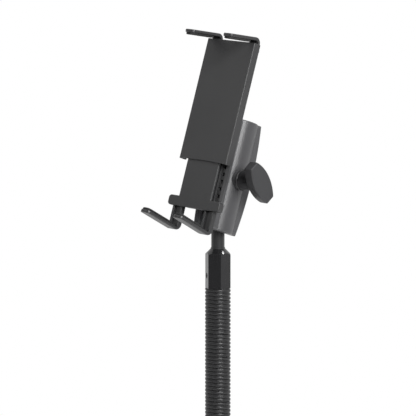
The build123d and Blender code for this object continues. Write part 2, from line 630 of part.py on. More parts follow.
def front_plate():
    """The narrow front plate, with the wide bar across its foot."""
    stem = block((-STEM_HALF_WIDTH, STEM_HALF_WIDTH), (STEM_FRONT, STEM_BACK), (BAR_BOTTOM, BASE_TOP))
    stem = fillet(stem.edges().filter_by(Axis.Z).group_by(Axis.Y)[0], STEM_ROUND)
    bar = block((-BAR_HALF_WIDTH, BAR_HALF_WIDTH), (STEM_FRONT, BAR_BACK), (BAR_BOTTOM, BAR_BOTTOM + BAR_HEIGHT))
    bar = fillet(bar.edges().filter_by(Axis.Y), BAR_ROUND)
    bar = fillet(bar.edges().group_by(Axis.Y)[0], STEM_ROUND)
    deck = (-STEM_HALF_WIDTH - RUNNING_GAP, STEM_HALF_WIDTH + RUNNING_GAP)
    bar -= block(deck, (DECK_FRONT - RUNNING_GAP, BAR_BACK + 1), (BASE_BOTTOM - RUNNING_GAP, BAR_BOTTOM + BAR_HEIGHT + 1))
    plate = stem + bar
    outer = LEG_WIDTH / 2 + BAR_SLOT_CLEARANCE
    inner = SHANK_WIDTH / 2 + BAR_SLOT_CLEARANCE
    front = BOTTOM_LEG_FRONT - BAR_SLOT_CLEARANCE
    for side in (-1, 1):
        x = side * BOTTOM_LEG_X
        plate -= block((x - outer, x + outer), (front, BAR_BACK + 1), (BAR_BOTTOM - 1, BAR_BOTTOM + BAR_HEIGHT - 0.8))
        x = side * SHANK_X
        plate -= block((x - inner, x + inner), (DECK_FRONT - 0.1, BAR_BACK + 1), (BAR_BOTTOM, BAR_BOTTOM + BAR_HEIGHT + 1))
    for x, z in cover_screw_places():
        plate -= rod_y(SMALL_SCREW_RADIUS + 0.02, (STEM_BACK - COVER_SCREW_BITE - 0.1, BAR_BACK + 1), x, z)
    return plate


def cover_screws():
    seat = BASE_BACK - SMALL_HEAD_HEIGHT - 0.2
    reach = seat - STEM_BACK + COVER_SCREW_BITE
    screw = Rot(-90, 0, 0) * small_screw(reach)
    return group(Pos(x, seat, z) * screw for x, z in cover_screw_places())


def leg_leaf_springs():
    """Flat springs in the base that press on the backs of the lower legs."""
    low = LEG_WEB_BACK + 0.05
    leaves = []
    for side in (-1, 1):
        x = side * SHANK_X
        across = (x - LEAF_WIDTH / 2, x + LEAF_WIDTH / 2)
        leaves.append(block(across, (low, low + LEAF_THICKNESS), (LEAF_BOTTOM, LEAF_BOTTOM + LEAF_HEIGHT)))
    return group(leaves)


def spring_pin():
    """The pin across the spring bay that anchors both pull springs."""
    depth = (STEM_BACK + BAY_FLOOR) / 2
    return rod_x(PIN_RADIUS, (-SPRING_BAY_HALF_WIDTH, SPRING_BAY_HALF_WIDTH), y=depth, z=PIN_HEIGHT)


def pull_springs():
    """Two long springs between the pin and the pull bar."""
    low = PIN_HEIGHT + PIN_RADIUS + 0.1
    high = PULL_BAR_BOTTOM - 0.1
    depth = (STEM_BACK + BAY_FLOOR) / 2
    spring = coil(PULL_SPRING_RADIUS, PULL_SPRING_WIRE, high - low, PULL_SPRING_TURNS)
    return group(Pos(side * PULL_SPRING_X, depth, low) * spring for side in (-1, 1))


# Holder: sliding shell

def upper_shell():
    shell = block((-SHELL_HALF_WIDTH, SHELL_HALF_WIDTH), (FRONT_FACE, SHELL_BACK), (SHELL_BOTTOM, SHELL_TOP))
    shell = fillet(shell.edges().filter_by(Axis.Z).group_by(Axis.Y)[0], SHELL_ROUND)
    shell = fillet(shell.edges().filter_by(Axis.X).group_by(Axis.Z)[-1].group_by(Axis.Y)[0], SHELL_ROUND * 0.6)
    inner = SHELL_HALF_WIDTH - SHELL_WALL
    hollow = FRONT_FACE + SHELL_FRONT_WALL
    ceiling = SHELL_TOP - SHELL_WALL
    cap = SHELL_TOP - SHELL_CAP_HEIGHT
    shell -= block((-inner, inner), (hollow, SHELL_BACK - SHELL_WALL), (SHELL_BOTTOM - 1, ceiling))
    shell -= block((-inner, inner), (hollow, SHELL_BACK + 1), (SHELL_BOTTOM - 1, cap))
    arch = [
        ThreePointArc((-SHELL_HALF_WIDTH - 1, SHELL_BOTTOM), (0, SHELL_BOTTOM + SHELL_ARCH), (SHELL_HALF_WIDTH + 1, SHELL_BOTTOM)),
        Line((SHELL_HALF_WIDTH + 1, SHELL_BOTTOM), (-SHELL_HALF_WIDTH - 1, SHELL_BOTTOM)),
    ]
    plane = Plane.XZ.offset(-SHELL_BACK)
    shell -= extrude(make_face([plane * edge for edge in arch]), amount=SHELL_DEPTH + 2, dir=(0, -1, 0))
    middle = STEM_BACK + RAIL_SLOT / 2
    depth = (middle - TONGUE_THICKNESS / 2, middle + TONGUE_THICKNESS / 2)
    edge = SPINE_HALF_WIDTH + RUNNING_GAP
    for side in (-1, 1):
        across = sorted((side * edge, side * (inner + 0.5)))
        shell += block(across, depth, (SHELL_BOTTOM + 2, cap - 4))
    seat = SHELL_BACK - TOP_LEG_STRAP
    reach = LEG_WIDTH / 2 + TOP_LEG_CLEARANCE
    for side in (-1, 1):
        across = (side * TOP_LEG_X - reach, side * TOP_LEG_X + reach)
        shell += block(across, (hollow, seat), (cap, SHELL_TOP - SHELL_ROUND))
        shell -= block(across, (seat, SHELL_BACK + 1), (cap - 1, SHELL_TOP + 1))
    for x, z in leg_screw_places():
        shell -= rod_y(SMALL_SCREW_RADIUS + 0.02, (seat - LEG_SCREW_BITE - 0.1, seat + 1), x, z)
    return shell


def pull_bar():
    """The bar that hangs from the shell's ceiling and holds the springs' upper ends."""
    depth = (STEM_BACK + BAY_FLOOR) / 2
    across = (-PULL_BAR_HALF_WIDTH, PULL_BAR_HALF_WIDTH)
    half = PULL_BAR_THICKNESS / 2
    cap = SHELL_TOP - SHELL_CAP_HEIGHT
    wall = SHELL_BACK - SHELL_WALL
    bar = block(across, (depth - half, depth + half), (PULL_BAR_BOTTOM, cap))
    bar += block(across, (wall - PULL_BAR_THICKNESS, depth + half), (cap - PULL_BAR_JOG, cap))
    bar += block(across, (wall - PULL_BAR_THICKNESS, wall), (cap - PULL_BAR_JOG, SHELL_TOP - SHELL_WALL))
    for side in (-1, 1):
        bar -= rod_y(PIN_RADIUS, (depth - 5, depth + 5), side * PULL_SPRING_X, PULL_BAR_BOTTOM + HOOK_DROP)
    return bar


# Legs

def leg_slope(way):
    """How far a leg's forward part turns towards the phone, in radians; way is 1 for a top leg."""
    return math.radians(TOP_LEG_SLOPE if way > 0 else BOTTOM_LEG_SLOPE)


def leg_foot(level, root, way):
    """Start of a leg's outer line at a level, with the directions along it and inwards."""
    slope = leg_slope(way)
    along = Vector(-math.cos(slope), -way * math.sin(slope))
    inward = Vector(math.sin(slope), -way * math.cos(slope))
    start = Vector(root, level)
    return start, along, inward


def leg_length(back, way):
    """Length of a leg's forward part along its slope, from its back to its tip."""
    tip = TOP_LEG_TIP if way > 0 else BOTTOM_LEG_TIP
    return (back - tip) / math.cos(leg_slope(way))


def leg_centre(side, way):
    return side * (TOP_LEG_X if way > 0 else BOTTOM_LEG_X)


def leg_side(level, back, strap, hang_to, way):
    """Side outline of an L-shaped leg: a strap that hangs to a height, and a foot that slopes forward."""
    start, along, inward = leg_foot(level, back, way)
    tip = start + along * leg_length(back, way)
    inner_tip = tip + inward * LEG_THICKNESS
    front = back - strap
    run = (back - front) / math.cos(leg_slope(way))
    inner_corner = start + along * run + inward * LEG_THICKNESS
    inner_height = inner_corner.Y + (inner_corner.X - front) * -math.tan(leg_slope(way)) * -way
    outline = Polyline(
        (back, hang_to), (back, level), (tip.X, tip.Y), (inner_tip.X, inner_tip.Y),
        (front, inner_height), (front, hang_to), close=True)
    return [outline]


def leg_solid(side, level, back, strap, hang_to, way):
    """A leg without its shank: the side outline carried across the leg's width, with rounded bend and tip."""
    centre = leg_centre(side, way)
    solid = side_prism(leg_side(level, back, strap, hang_to, way), (centre - LEG_WIDTH / 2, centre + LEG_WIDTH / 2))
    across = solid.edges().filter_by(Axis.X)
    outer_bend = across.sort_by_distance(Vector(centre, back, level))[0]
    solid = fillet([outer_bend], LEG_BEND_RADIUS)
    across = solid.edges().filter_by(Axis.X)
    ends = across.sort_by(Axis.Y)[:2]
    solid = fillet(ends, LEG_TIP_ROUND)
    return solid


def pad_block(side, level, back, strap, way, grow):
    """The rubber pad let into a leg's inner face, or with grow the recess that takes it."""
    start, along, inward = leg_foot(level, back, way)
    length = leg_length(back, way)
    near = start + along * (strap + PAD_START - grow) + inward * LEG_STRIP
    far = start + along * (length - PAD_END_INSET + grow) + inward * LEG_STRIP
    rise = LEG_THICKNESS - LEG_STRIP + (PAD_PROUD if grow == 0 else 1.0)
    near_top = near + inward * rise
    far_top = far + inward * rise
    outline = Polyline((near.X, near.Y), (far.X, far.Y), (far_top.X, far_top.Y), (near_top.X, near_top.Y), close=True)
    centre = leg_centre(side, way)
    half = LEG_WIDTH / 2 - PAD_SIDE_INSET if grow == 0 else LEG_WIDTH / 2 + 1
    pad = side_prism([outline], (centre - half, centre + half))
    if grow == 0:
        pad = fillet(pad.edges().filter_by(Axis.X).sort_by(Axis.Y)[:2], 0.7)
    return pad


def top_leg_values():
    return TOP_LEG_LEVEL, SHELL_BACK, TOP_LEG_STRAP


def leg_screw_places():
    offsets = (-LEG_SCREW_SPREAD, LEG_SCREW_SPREAD)
    return [(side * (TOP_LEG_X + offset), LEG_SCREW_HEIGHT) for side in (-1, 1) for offset in offsets]


def top_leg(side):
    level, back, strap = top_leg_values()
    leg = leg_solid(side, level, back, strap, level - TOP_LEG_HANG, 1)
    leg -= pad_block(side, level, back, strap, 1, 0.2)
    for x, z in leg_screw_places():
        leg -= rod_y(SMALL_SCREW_RADIUS + SMALL_SCREW_CLEARANCE, (back - strap - 1, back + 1), x, z)
    return leg


def top_leg_pads():
    level, back, strap = top_leg_values()
    return group(pad_block(side, level, back, strap, 1, 0) for side in (-1, 1))


def leg_screws():
    seat = SHELL_BACK
    screw = Rot(-90, 0, 0) * small_screw(TOP_LEG_STRAP + LEG_SCREW_BITE)
    return group(Pos(x, seat, z) * screw for x, z in leg_screw_places())


def bottom_leg(side):
    """A lower leg: sloping foot, channel-shaped strap with two ribs, and a shank that slides in the base."""
    centre = leg_centre(side, -1)
    leg = leg_solid(side, BOTTOM_LEG_LEVEL, LEG_WEB_BACK, BOTTOM_LEG_WEB, BOTTOM_LEG_RIB_TOP, -1)
    leg -= pad_block(side, BOTTOM_LEG_LEVEL, LEG_WEB_BACK, BOTTOM_LEG_WEB, -1, 0.2)
    rise = BOTTOM_LEG_LEVEL + LEG_THICKNESS
    for edge in (-1, 1):
        outer = centre + edge * LEG_WIDTH / 2
        across = sorted((outer, outer - edge * BOTTOM_LEG_RIB))
        leg += block(across, (BOTTOM_LEG_FRONT, LEG_WEB_FRONT + 0.5), (rise - 0.5, BOTTOM_LEG_RIB_TOP))
    x = side * SHANK_X
    across = (x - SHANK_WIDTH / 2, x + SHANK_WIDTH / 2)
    shank = block(across, (LEG_WEB_FRONT, LEG_WEB_BACK), (BOTTOM_LEG_RIB_TOP - 1, SHANK_TOP))
    return leg + shank


def bottom_leg_pad(side):
    return pad_block(side, BOTTOM_LEG_LEVEL, LEG_WEB_BACK, BOTTOM_LEG_WEB, -1, 0)


def neck_nodes():
    """The neck's links, named from the bottom up."""
    return {f"neck_coil_{number + 1:02d}": neck_link(number) for number in range(NECK_JOINTS + 1)}


def lower_end_nodes():
    """Foot and lower ferrule: the same ferrule as above, turned over."""
    turned = Pos(0, 0, NECK_BOTTOM) * Rot(180, 0, 0)
    return {
        "mounting_foot": mounting_foot(),
        "foot_screw": foot_screw(),
        "lower_ferrule": turned * ferrule(),
        "lower_grub_screw": turned * grub_screw(),
    }


def upper_end_nodes():
    raised = Pos(0, 0, NECK_TOP)
    at_ball = Pos(0, 0, BALL_HEIGHT)
    return {
        "upper_ferrule": raised * ferrule(),
        "upper_grub_screw": raised * grub_screw(),
        "lower_ball_stud": at_ball * lower_ball_stud(),
        "lower_ball": at_ball * rubber_ball(),
    }


def head_nodes():
    """Everything that leans with the arm, in the head's own frame."""
    return {
        "arm_half_inner": arm_half(True),
        "arm_half_outer": arm_half(False),
        "clamp_bolt": clamp_bolt(),
        "clamp_spring": clamp_spring(),
        "clamp_washer": clamp_washer(),
        "clamp_knob": clamp_knob(),
        "knob_insert": knob_insert(),
        "upper_ball": Pos(UPPER_BALL) * Rot(-90, 0, 0) * rubber_ball(),
        "holder_stud": holder_stud(),
        "ball_plate": ball_plate(),
        "ball_plate_screws": ball_plate_screws(),
        "rear_base": rear_base(),
        "front_plate": front_plate(),
        "cover_screws": cover_screws(),
        "leg_leaf_springs": leg_leaf_springs(),
        "spring_pin": spring_pin(),
        "pull_springs": pull_springs(),
        "upper_shell": upper_shell(),
        "pull_bar": pull_bar(),
        "top_leg_left": top_leg(-1),
        "top_leg_right": top_leg(1),
        "top_leg_pads": top_leg_pads(),
        "leg_screws": leg_screws(),
        "bottom_leg_left": bottom_leg(-1),
        "left_leg_pad": bottom_leg_pad(-1),
        "bottom_leg_right": bottom_leg(1),
        "right_leg_pad": bottom_leg_pad(1),
    }


nodes = {**lower_end_nodes(), **neck_nodes(), **upper_end_nodes()}
nodes.update({name: HEAD * shape for name, shape in head_nodes().items()})

os.makedirs("parts", exist_ok=True)
for name, shape in nodes.items():
    export_step(shape, f"parts/{name}.step")
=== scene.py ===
"""Gooseneck phone mount: the wound neck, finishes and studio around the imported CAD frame."""

import math

import bmesh
import bpy
import numpy as np
from bpy.props import FloatProperty, FloatVectorProperty, IntProperty, PointerProperty
from mathutils import Matrix, Vector


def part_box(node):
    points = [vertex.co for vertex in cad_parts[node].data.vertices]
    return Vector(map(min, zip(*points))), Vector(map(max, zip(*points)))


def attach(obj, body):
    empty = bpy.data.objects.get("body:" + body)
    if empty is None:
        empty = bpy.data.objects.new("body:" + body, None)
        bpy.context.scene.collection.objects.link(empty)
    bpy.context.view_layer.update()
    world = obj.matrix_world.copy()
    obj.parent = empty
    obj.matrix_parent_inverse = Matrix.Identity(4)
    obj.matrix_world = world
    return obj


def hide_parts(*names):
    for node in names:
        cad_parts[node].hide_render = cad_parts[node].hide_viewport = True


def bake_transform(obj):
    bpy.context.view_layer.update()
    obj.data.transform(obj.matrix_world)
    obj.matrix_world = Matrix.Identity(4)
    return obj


bl_info = {
    "name": "Gooseneck phone mount",
    "version": (1, 0, 0),
    "blender": (4, 5, 0),
    "location": "3D View > Sidebar > Phone mount",
    "description": "Dresses the phone mount's CAD frame with its wound neck, finishes and studio",
    "category": "Object",
}

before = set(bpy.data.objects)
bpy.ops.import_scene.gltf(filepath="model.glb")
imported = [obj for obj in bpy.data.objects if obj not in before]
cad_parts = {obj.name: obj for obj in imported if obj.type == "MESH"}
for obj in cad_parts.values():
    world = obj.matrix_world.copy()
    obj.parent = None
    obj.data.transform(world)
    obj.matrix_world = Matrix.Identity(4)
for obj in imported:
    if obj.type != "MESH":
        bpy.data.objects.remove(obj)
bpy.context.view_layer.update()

NECK_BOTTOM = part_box("neck_coil_01")[0].z
NECK_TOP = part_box("neck_coil_17")[1].z
NECK_JOINTS = 16
NECK_BODIES = ["root"] + [f"neck_link_{n:02d}" for n in range(2, NECK_JOINTS + 1)] + ["post"]
CUT_PIECE = 4
BALL_HEIGHT = 0.408
LEAN, ROLL = math.radians(-16.7), math.radians(3.4)
HEAD_TURN = np.array(Matrix.Rotation(LEAN, 3, "X") @ Matrix.Rotation(ROLL, 3, "Y"))
HEAD_ORIGIN = np.array([0, 0, BALL_HEIGHT])

# The bottom legs' straps, with a rib along each edge, and their shanks
STRAP_TOP = 0.0008
RIB_RISE = 0.0022
RIB_HALF_WIDTH, RIB_HALF_DEPTH, RIB_SET_FORWARD = 0.001, 0.0016, 0.0033
SHANK_X, SHANK_TOP = 0.013, 0.034
SHANK_HALF_WIDTH, SHANK_HALF_DEPTH = 0.0038, 0.0013
UPRIGHT_ROUND = 0.0006

# Rubber pads: how they lie in their feet and how far they stop short of them
PAD_SINK, PAD_EDGE = 0.0003, 0.0006
PAD_FROM_STRAP, PAD_FROM_TIP = 0.0075, 0.0011
PAD_FIRST_SPLAY = 0.25

# Lengths over which the ends of the strips and pads are rounded: at the start and at the tip
STRIP_WIDTH_ROUND, STRIP_DEPTH_ROUND = (0.0012, 0.0036), (0.0008, 0.0013)
PAD_WIDTH_ROUND, PAD_DEPTH_ROUND = (0.003, 0.0034), (0.001, 0.0016)

# Squareness of the legs' sections, and the points round each of them
STRIP_SQUARENESS, PAD_SQUARENESS, UPRIGHT_SQUARENESS = 7.0, 3.6, 8.0
BAR_SIDES = 28

# Coil springs, with their ends in the head's own frame
PULL_SPRING_LOW, PULL_SPRING_HIGH = (0, -0.0294, 0.0193), (0, -0.0294, 0.1069)
PULL_SPRING_X, PULL_SPRING_RADIUS, PULL_SPRING_WIRE, PULL_SPRING_TURNS = 0.004, 0.0023, 0.0004, 40
CLAMP_SPRING_FROM, CLAMP_SPRING_TO = (-0.008, 0, 0.033), (0.008, 0, 0.033)
CLAMP_SPRING_RADIUS, CLAMP_SPRING_WIRE, CLAMP_SPRING_TURNS = 0.0054, 0.0007, 5.5

# The camera that saw the real mount
CAMERA_PLACE = (1.298345, -1.506150, 0.622299)
CAMERA_TOWARD = (-0.65251279, 0.75063009, -0.10383413)
CAMERA_LENS, CAMERA_SENSOR, CAMERA_REACH = 207.69, 36.0, 50.0
AWAY_FROM_CAMERA = (-0.656, 0.755, 0.0)


def colour_property(name, description, default):
    return FloatVectorProperty(
        name=name, description=description, default=default, size=3, subtype="COLOR", min=0, max=1)


def length_property(name, description, default):
    return FloatProperty(
        name=name, description=description, default=default, subtype="DISTANCE", unit="LENGTH", precision=5)


def angle_property(name, description, degrees):
    return FloatProperty(name=name, description=description, default=math.radians(degrees), subtype="ANGLE")


def number_property(name, description, default):
    return FloatProperty(name=name, description=description, default=default)


class NeckSizes(bpy.types.PropertyGroup):
    """Sizes of the wound steel neck."""
    crest_radius: length_property("Crest radius", "Radius at the top of a ridge", 0.0107)
    root_radius: length_property("Root radius", "Radius at the bottom of a groove", 0.0093)
    pitch: length_property("Pitch", "Distance from one turn to the next", 0.003175)
    phase: number_property("Phase", "Where round the neck the winding starts, in turns", 0.0)
    across: IntProperty(name="Points across", description="Points across one ridge", default=10, min=4)
    around: IntProperty(name="Points around", description="Points in one turn", default=56, min=12)


class LegSizes(bpy.types.PropertyGroup):
    """Sizes of the four legs, in the head's own frame."""
    width: length_property("Width", "Width of a leg", 0.0102)
    top_apart: length_property("Top apart", "Distance of a top leg's middle from the holder's middle", 0.0204)
    bottom_apart: length_property("Bottom apart", "The same for a bottom leg", 0.0175)
    splay: length_property("Splay", "How far a leg's tip stands outwards", 0.0006)
    strip: length_property("Strip", "Thickness of the plastic strip", 0.0028)
    pad: length_property("Pad", "Thickness of the rubber pad", 0.0021)
    top_tip: length_property("Top tip", "Distance of the top legs' tips in front of the lower ball", 0.0664)
    bottom_tip: length_property("Bottom tip", "The same for the bottom legs", 0.0706)
    bend: length_property("Bend", "Radius of the bend along the strip's middle", 0.0038)
    top_slope: angle_property("Top slope", "Turn of the top feet", 9.6)
    bottom_slope: angle_property("Bottom slope", "Turn of the bottom feet", 9.5)
    top_level: length_property("Top level", "Height of the top legs' outer face", 0.1484)
    top_back: length_property("Top back", "Place of the top legs' back", -0.0278)
    top_hang: length_property("Top hang", "How far the top legs' straps hang", 0.0141)
    bottom_level: length_property("Bottom level", "Height of the bottom legs' outer face", -0.0212)
    bottom_back: length_property("Bottom back", "Place of the bottom legs' back", -0.02755)


class Colours(bpy.types.PropertyGroup):
    """Colours of the mount's finishes."""
    holder: colour_property("Holder", "Moulded plastic of the holder", (0.036, 0.036, 0.037))
    legs: colour_property("Legs", "Moulded plastic of the legs", (0.03, 0.03, 0.031))
    knob: colour_property("Knob", "Moulded plastic of the wing knob", (0.034, 0.034, 0.036))
    arm: colour_property("Arm", "Grey composite of the clamp arm", (0.068, 0.068, 0.071))
    gloss_black: colour_property("Gloss black", "Plated hex ferrules", (0.014, 0.014, 0.015))
    neck: colour_property("Neck", "Blackened steel of the wound neck", (0.017, 0.017, 0.018))
    stud: colour_property("Stud", "Blackened steel of the posts", (0.03, 0.03, 0.031))
    rubber: colour_property("Rubber", "Rubber of the balls and pads", (0.018, 0.018, 0.018))
    zinc: colour_property("Zinc", "Plated steel of the fasteners", (0.55, 0.56, 0.58))
    brass: colour_property("Brass", "Brass of the knob's insert", (0.62, 0.44, 0.18))
    foot: colour_property("Foot", "Powder coat of the foot", (0.022, 0.022, 0.023))


class Studio(bpy.types.PropertyGroup):
    """Lights of the plain studio."""
    key: number_property("Key", "Strength of the lamp on the right, in watts", 15.5)
    fill: number_property("Fill", "Strength of the lamp in front, in watts", 4.0)
    top: number_property("Top", "Strength of the small lamp above and behind, in watts", 5.0)
    near: number_property("Near room", "Brightness of the room on the camera's side", 0.12)
    far: number_property("Far room", "Brightness of the room behind the mount", 0.85)


class Mount(bpy.types.PropertyGroup):
    """Everything that a user would change."""
    neck: PointerProperty(type=NeckSizes)
    legs: PointerProperty(type=LegSizes)
    colours: PointerProperty(type=Colours)
    studio: PointerProperty(type=Studio)


class Value:
    """A number socket that takes part in arithmetic: each operator adds one Math node."""

    def __init__(self, finish, socket):
        self.finish = finish
        self.socket = socket

    def _math(self, operation, *terms):
        node = self.finish.node("ShaderNodeMath", {"operation": operation}, dict(enumerate(terms)))
        return Value(self.finish, node.outputs[0])

    def __add__(self, other):
        return self._math("ADD", self, other)

    def __mul__(self, other):
        return self._math("MULTIPLY", self, other)

    __radd__ = __add__
    __rmul__ = __mul__


class Finish:
    """One node material. node() adds a node: first its settings, then its sockets' values or links."""

    def __init__(self, name):
        self.material = bpy.data.materials.new(name)
        self.material.use_nodes = True
        self.tree = self.material.node_tree
        self.tree.nodes.clear()
        self.shader = self.node("ShaderNodeBsdfPrincipled")
        self.output = self.node("ShaderNodeOutputMaterial", {}, {"Surface": self.shader.outputs[0]})

    def node(self, kind, settings=None, sockets=None):
        node = self.tree.nodes.new(kind)
        for name, value in (settings or {}).items():
            setattr(node, name, value)
        for name, value in (sockets or {}).items():
            self.feed(node.inputs[name], value)
        return node

    def feed(self, socket, value):
        if isinstance(value, Value):
            value = value.socket
        if isinstance(value, bpy.types.NodeSocket):
            self.tree.links.new(value, socket)
        else:
            socket.default_value = value

    def set(self, **values):
        """Sets the shader's sockets; an underscore stands for a space."""
        for name, value in values.items():
            self.feed(self.shader.inputs[name.replace("_", " ")], value)

    def place(self):
        """Object coordinates, in metres."""
        return self.node("ShaderNodeTexCoord").outputs["Object"]

    def noise(self, scale, detail=2.0, roughness=0.5):
        """Noise with about `scale` lumps to the metre."""
        node = self.node("ShaderNodeTexNoise", {}, {
            "Vector": self.place(), "Scale": scale, "Detail": detail, "Roughness": roughness})
        return Value(self, node.outputs[0])

    def ramp(self, value, stops):
        """A value put through black-to-white stops: (position, level)."""
        node = self.tree.nodes.new("ShaderNodeValToRGB")
        elements = node.color_ramp.elements
        while len(elements) < len(stops):
            elements.new(0.5)
        for element, (position, level) in zip(elements, stops):
            element.position = position
            element.color = (level, level, level, 1)
        self.feed(node.inputs[0], value)
        return Value(self, node.outputs[0])

    def blend(self, factor, first, second):
        """A colour between two others."""
        node = self.node("ShaderNodeMix", {"data_type": "RGBA"}, {0: factor, 6: (*first, 1), 7: (*second, 1)})
        return node.outputs[2]

    def bump(self, height, depth):
        """Raises the surface by height times depth, in metres."""
        node = self.node("ShaderNodeBump", {}, {"Height": height, "Distance": depth, "Strength": 1.0})
        self.set(Normal=node.outputs[0])


def lighter(colour, factor):
    return tuple(min(1.0, part * factor) for part in colour)


def moulded(name, colour, roughness):
    """Moulded plastic: fine spark-eroded grain, faint clouds of tone and roughness."""
    finish = Finish(name)
    clouds = finish.noise(35.0, 3.0)
    fine = finish.noise(2600.0, 2.0)
    finish.set(
        Base_Color=finish.blend(clouds, lighter(colour, 0.88), lighter(colour, 1.14)),
        Roughness=roughness - 0.05 + clouds * 0.06 + fine * 0.06)
    finish.bump(fine, 0.00002)
    return finish.material


def painted(name, colour, roughness, coat, peel=0.00002):
    """Paint or plating: smooth, with a slight orange peel and a clear top layer."""
    finish = Finish(name)
    peel_noise = finish.noise(420.0, 2.0)
    dust = finish.noise(90.0, 4.0, 0.6)
    finish.set(
        Base_Color=finish.blend(dust, lighter(colour, 0.85), lighter(colour, 1.2)),
        Roughness=roughness - 0.03 + dust * 0.08,
        Coat_Weight=coat, Coat_Roughness=0.08)
    finish.bump(peel_noise, peel)
    return finish.material


def composite(name, colour, roughness):
    """Filled composite under powder coat: grey, with fine fleck and grain."""
    finish = Finish(name)
    clouds = finish.noise(24.0, 3.0)
    fleck = finish.ramp(finish.noise(1500.0, 3.0), [(0.42, 0.0), (0.62, 1.0)])
    tone = clouds * 0.6 + fleck * 0.4
    finish.set(
        Base_Color=finish.blend(tone, lighter(colour, 0.84), lighter(colour, 1.18)),
        Roughness=roughness - 0.04 + clouds * 0.06 + fleck * 0.05)
    finish.bump(fleck, 0.00001)
    return finish.material


def bare_metal(name, colour, roughness):
    """Bare or plated metal with a fine uneven grain."""
    finish = Finish(name)
    grain = finish.noise(900.0, 3.0, 0.6)
    clouds = finish.noise(60.0, 2.0)
    finish.set(
        Base_Color=finish.blend(clouds, lighter(colour, 0.86), lighter(colour, 1.08)),
        Metallic=1.0, Roughness=roughness - 0.05 + grain * 0.12 + clouds * 0.05)
    finish.bump(grain, 0.000006)
    return finish.material


def soft_rubber(name, colour):
    """Matt rubber with a dusty bloom."""
    finish = Finish(name)
    bloom = finish.noise(70.0, 4.0, 0.65)
    grain = finish.noise(1800.0, 2.0)
    finish.set(
        Base_Color=finish.blend(bloom, lighter(colour, 0.8), lighter(colour, 1.5)),
        Roughness=0.66 + bloom * 0.14, Specular_IOR_Level=0.4)
    finish.bump(grain, 0.00003)
    return finish.material


def dress(material, *nodes):
    """Gives CAD nodes a material."""
    for name in nodes:
        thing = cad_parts[name]
        if not thing.material_slots:
            thing.data.materials.append(material)
        for slot in thing.material_slots:
            slot.material = material


def mesh_object(name, points, faces, material):
    """A mesh piece at the origin, from arrays of points and faces."""
    mesh = bpy.data.meshes.new(name)
    mesh.from_pydata(points.tolist(), [], faces.tolist() if hasattr(faces, "tolist") else faces)
    mesh.materials.append(material)
    thing = bpy.data.objects.new(name, mesh)
    bpy.context.collection.objects.link(thing)
    mesh.polygons.foreach_set("use_smooth", [True] * len(mesh.polygons))
    return thing


def close_and_tidy(thing, merge=1e-6):
    """Merges doubles, closes open ends and turns every face outwards."""
    work = bmesh.new()
    work.from_mesh(thing.data)
    bmesh.ops.remove_doubles(work, verts=work.verts, dist=merge)
    bmesh.ops.dissolve_degenerate(work, edges=work.edges, dist=merge)
    open_edges = [edge for edge in work.edges if edge.is_boundary]
    made = bmesh.ops.holes_fill(work, edges=open_edges, sides=0)
    for face in made["faces"]:
        face.smooth = False
    bmesh.ops.recalc_face_normals(work, faces=work.faces)
    work.to_mesh(thing.data)
    work.free()


def coil_strip(sizes, low, high, material, name):
    """A stretch of the wound neck between two heights.

    The winding is one strip that climbs a left-handed helix. A point at angle t and share s across the strip
    stands at height pitch * (t / 2 pi + s), at radius root + (crest - root) * (1 - |2 s - 1| ^ 3) ^ 0.75.
    Heights beyond the stretch are held at its ends, which cuts them flat.
    """
    turn_low = math.floor((low - NECK_BOTTOM) / sizes.pitch) - 2
    turn_high = math.ceil((high - NECK_BOTTOM) / sizes.pitch) + 1
    steps = (turn_high - turn_low) * sizes.around
    step = np.arange(steps + 1)[:, None]
    share = np.arange(sizes.across)[None, :] / sizes.across
    turns = turn_low + step / sizes.around
    angle = -2 * math.pi * (turns + sizes.phase) + 0 * share
    height = NECK_BOTTOM + sizes.pitch * (turns + share)
    bulge = np.clip(1 - np.abs(2 * share - 1) ** 3, 0, 1) ** 0.75
    radius = sizes.root_radius + (sizes.crest_radius - sizes.root_radius) * bulge + 0 * turns
    points = np.stack([radius * np.cos(angle), radius * np.sin(angle), np.clip(height, low, high)], -1)
    row, column = np.meshgrid(np.arange(steps), np.arange(sizes.across), indexing="ij")
    last = column == sizes.across - 1
    keep = ~last | (row + 1 + sizes.around <= steps)
    row, column, last = row[keep], column[keep], last[keep]

    def index(r, c, wraps):
        return np.where(wraps, (r + sizes.around) * sizes.across, r * sizes.across + c)

    corners = np.stack([
        index(row, column, False), index(row, column + 1, last),
        index(row + 1, column + 1, last), index(row + 1, column, False)], -1)
    heights = height.ravel()[corners]
    inside = (heights.max(1) > low + 1e-9) & (heights.min(1) < high - 1e-9)
    thing = mesh_object(name, points.reshape(-1, 3), corners[inside], material)
    close_and_tidy(thing)
    return thing


def head_points(points):
    """Turns points of the head's own frame into the whole frame.

    The head's frame has its origin in the lower ball, and its z runs up the arm.
    """
    return points @ HEAD_TURN.T + HEAD_ORIGIN


def rounded_section(count, squareness):
    """A rounded rectangle from -1 to 1 each way.

    One coordinate is sign(cos a) |cos a| ^ (2 / squareness), and the other is the same with sin.
    """
    angle = np.arange(count) / count * 2 * math.pi + math.pi / count
    power = 2 / squareness
    return np.stack([
        np.sign(np.cos(angle)) * np.abs(np.cos(angle)) ** power,
        np.sign(np.sin(angle)) * np.abs(np.sin(angle)) ** power], -1)


def tube_faces(stations, count):
    """Faces of a tube whose points run round each of its stations in turn."""
    ring, spoke = np.meshgrid(np.arange(stations - 1), np.arange(count), indexing="ij")
    after = (spoke + 1) % count
    return np.stack([
        ring * count + spoke, ring * count + after,
        (ring + 1) * count + after, (ring + 1) * count + spoke], -1).reshape(-1, 4)


